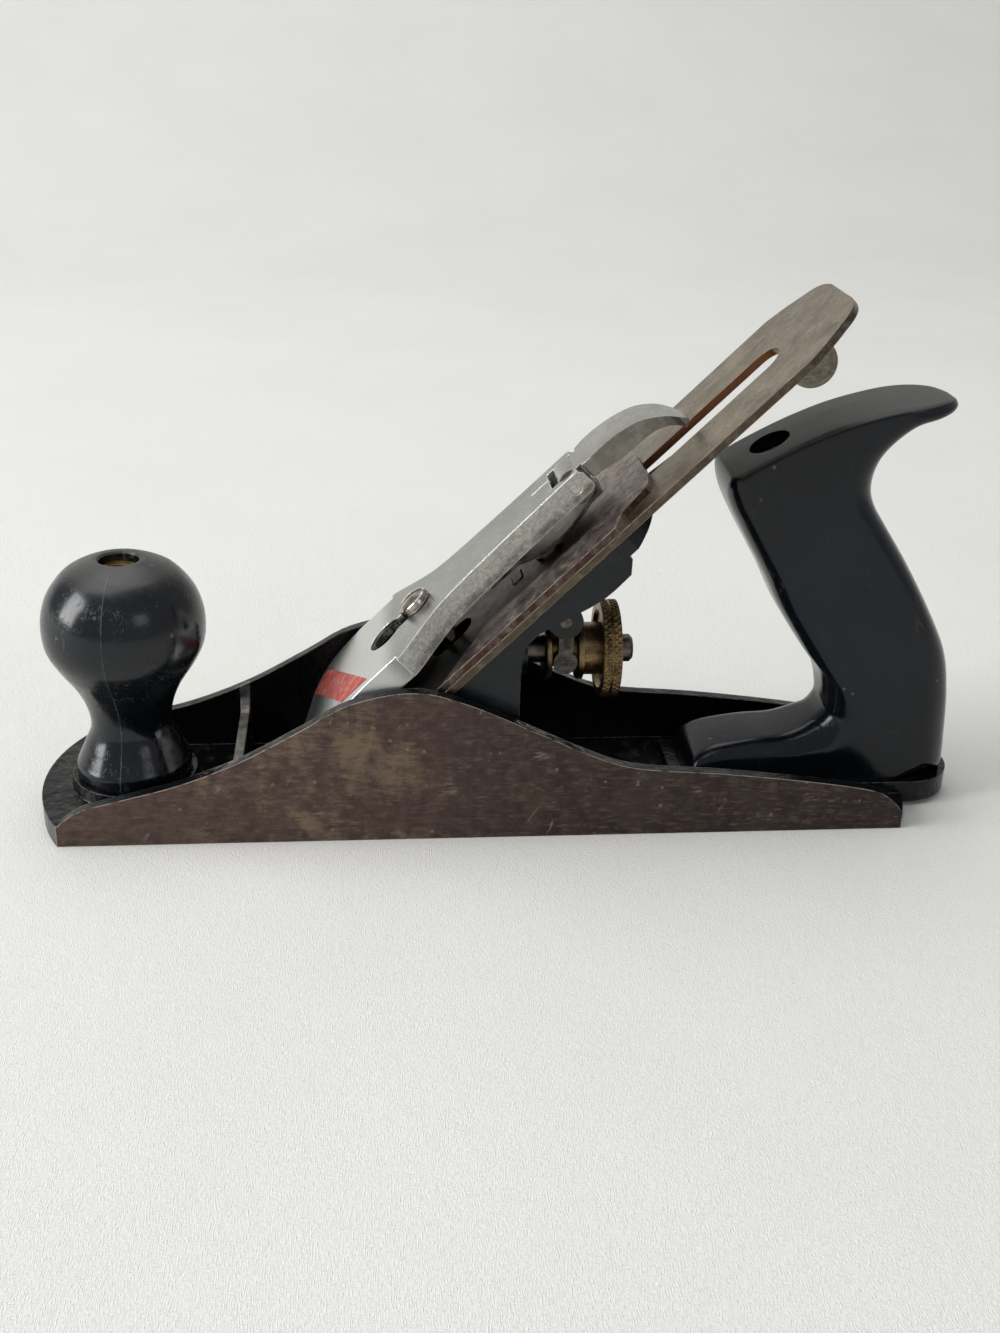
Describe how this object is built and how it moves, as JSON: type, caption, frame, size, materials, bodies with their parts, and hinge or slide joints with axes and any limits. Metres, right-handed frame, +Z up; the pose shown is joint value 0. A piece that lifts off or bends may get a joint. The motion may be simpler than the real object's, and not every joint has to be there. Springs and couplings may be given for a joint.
{
  "type": "smoothing plane",
  "caption": "Cast iron smoothing plane with a turned knob, an open tote, a slotted blade, a cap iron, a cam-locked lever cap and a brass depth wheel.",
  "frame": {"origin": "on the sole's plane, at the middle of the overall length and width", "axes": "+X from the toe to the heel, +Y to the right of someone who pushes the plane toe first, +Z up"},
  "size_m": [0.255, 0.052, 0.1414],
  "materials": {
    "body_iron": "brown patina on the sides, black paint inside",
    "black_plastic": "worn gloss",
    "dark_steel": "dull, slightly rusty",
    "nut_brass": "aged",
    "wheel_brass": "aged, knurled",
    "black_paint": "gloss black paint over iron",
    "grey_casting": "rough casting",
    "lateral_steel": "dull",
    "blade_steel": "stained, rusty edges",
    "cap_steel": "mottled, rusty edges",
    "plated_iron": "dull nickel plate",
    "plated_screw": "nickel plate, rusty slot",
    "red_label": "worn paper, bare"
  },
  "bodies": {
    "plane": {"body": "body_iron", "knob": "black_plastic", "knob_rod": "dark_steel", "knob_nut": "nut_brass", "tote": "black_plastic", "tote_rod": "dark_steel", "tote_nut": "nut_brass", "frog": "black_paint", "frog_screws": "dark_steel", "frog_washers": "dark_steel", "adjusting_stud": "dark_steel", "yoke_pin": "dark_steel", "lateral_pivot": "dark_steel"},
    "blade": {"iron": "blade_steel", "cap_iron": "cap_steel", "cap_iron_screw": "dark_steel"},
    "yoke": {"yoke": "grey_casting"},
    "wheel": {"depth_wheel": "wheel_brass"},
    "lateral": {"lateral_lever": "lateral_steel", "lateral_roller": "lateral_steel"},
    "lever_cap": {"lever_cap": "plated_iron", "cam_pin": "dark_steel", "cam_spring": "lateral_steel", "spring_rivet": "dark_steel", "label": "red_label"},
    "cam": {"cam_lever": "plated_iron"},
    "clamp_screw": {"lever_cap_screw": "plated_screw"}
  },
  "joints": [
    {"name": "blade_feed", "type": "slide", "parent": "plane", "child": "blade", "axis": [0.7071, 0, 0.7071], "range_m": [-0.0012, 0.0015]},
    {"name": "yoke_swing", "type": "hinge", "parent": "plane", "child": "yoke", "pos_m": [0.01362, 0, 0.05692], "axis": [0, 1, 0], "range_deg": [-5.4, 6.8]},
    {"name": "wheel_travel", "type": "slide", "parent": "plane", "child": "wheel", "axis": [1, 0, 0], "range_m": [-0.00165, 0.00133]},
    {"name": "lateral_swing", "type": "hinge", "parent": "plane", "child": "lateral", "pos_m": [0.02826, 0, 0.08556], "axis": [-0.7071, 0, 0.7071], "range_deg": [-4, 4]},
    {"name": "lever_cap_slide", "type": "slide", "parent": "plane", "child": "lever_cap", "axis": [0.7071, 0, 0.7071], "range_m": [0, 0.012]},
    {"name": "cam_swing", "type": "hinge", "parent": "lever_cap", "child": "cam", "pos_m": [0.01497, 0, 0.09249], "axis": [0, -1, 0], "range_deg": [0, 95]},
    {"name": "clamp_screw_turn", "type": "hinge", "parent": "plane", "child": "clamp_screw", "pos_m": [-0.01268, 0, 0.04462], "axis": [-0.7071, 0, 0.7071], "range_deg": [-180, 180]}
  ],
  "couplings": [
    {"joint": "yoke_swing", "follows": "blade_feed", "rad_per_m": 76.923},
    {"joint": "wheel_travel", "follows": "blade_feed", "ratio": -1.0709}
  ]
}
